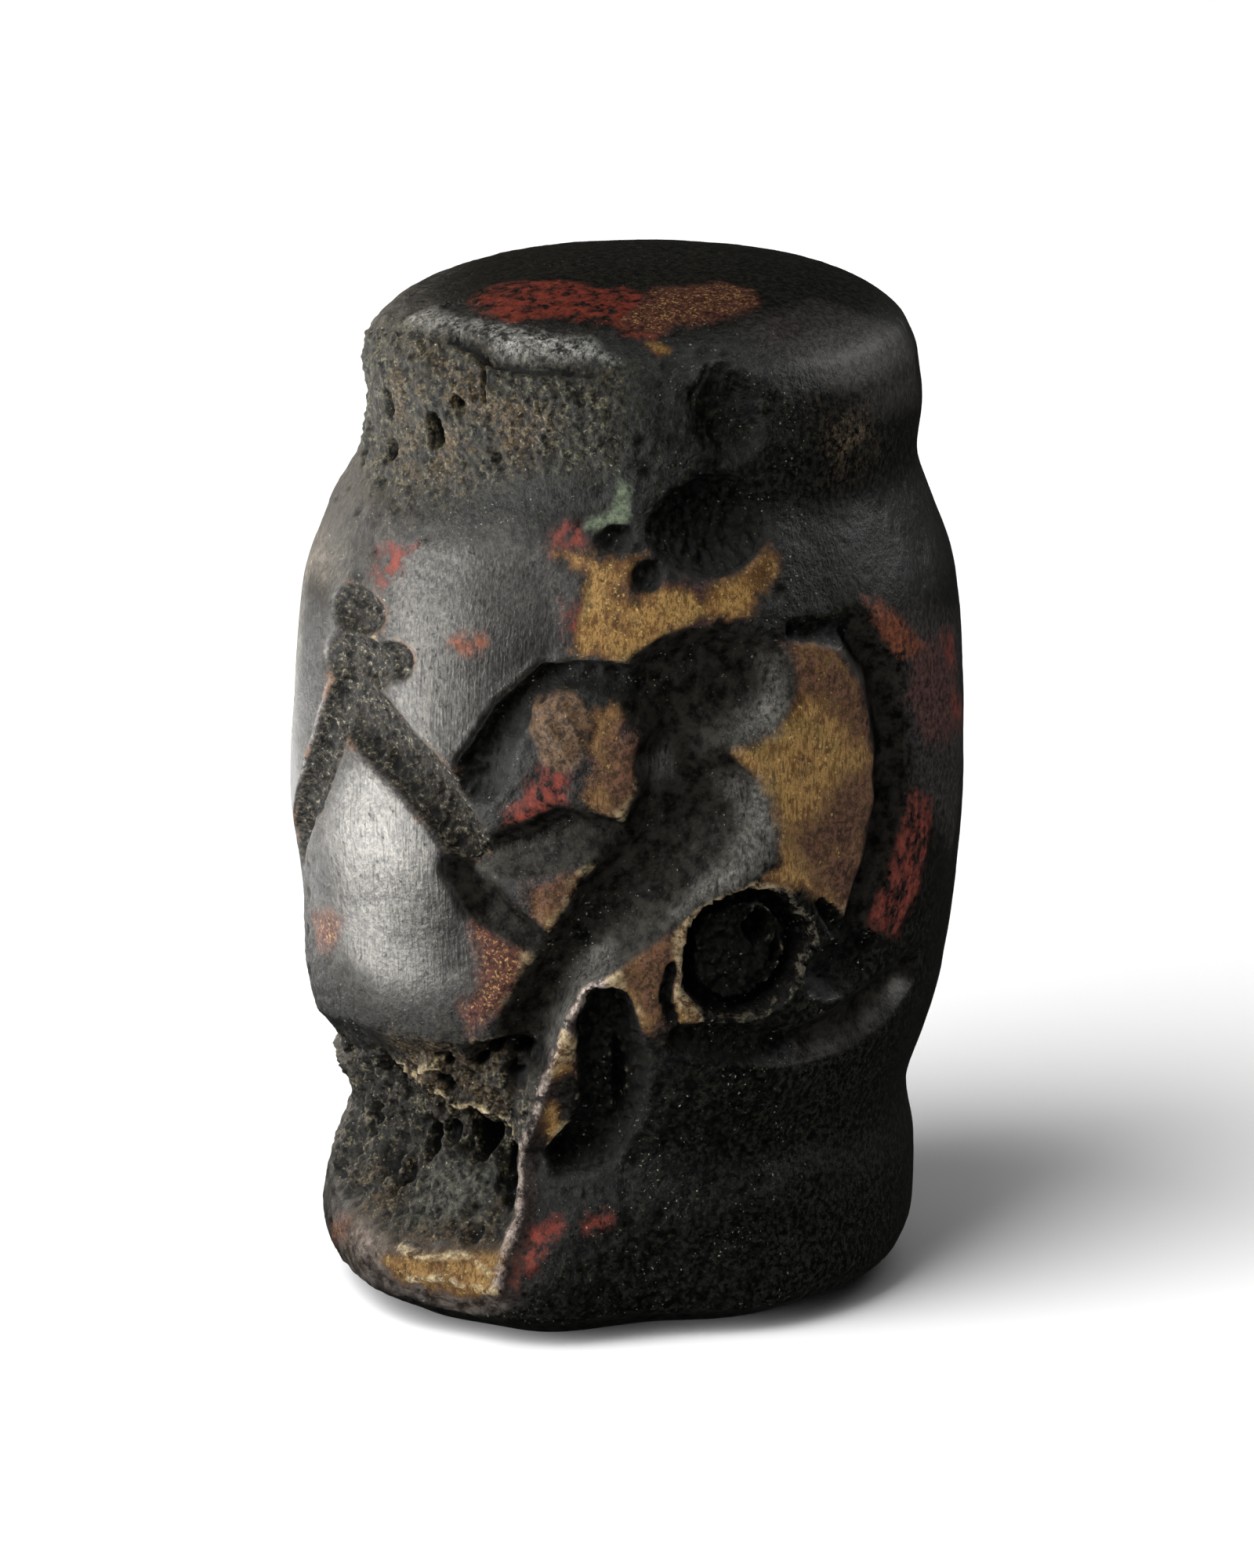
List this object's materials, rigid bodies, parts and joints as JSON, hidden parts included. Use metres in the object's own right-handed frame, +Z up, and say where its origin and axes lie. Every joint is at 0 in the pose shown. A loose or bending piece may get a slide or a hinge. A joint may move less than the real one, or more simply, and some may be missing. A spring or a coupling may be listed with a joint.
{
  "type": "bronze seal",
  "caption": "Small barrel-shaped cast bronze seal with a flat foot and a deeply cut animal scene that rolls or presses into clay.",
  "frame": {"origin": "middle of the flat foot, on the surface that the seal stands on", "axes": "+Z up along the seal's axis, -Y out of the face with the large horned animal, +X to that face's right"},
  "size_m": [0.017, 0.0169, 0.026],
  "materials": {
    "bronze": "cast bronze under a worn black patina, with red oxide, bare gold-brown metal and earthy crust in patches"
  },
  "bodies": {
    "root": {"seal_body": "bronze"}
  },
  "joints": []
}
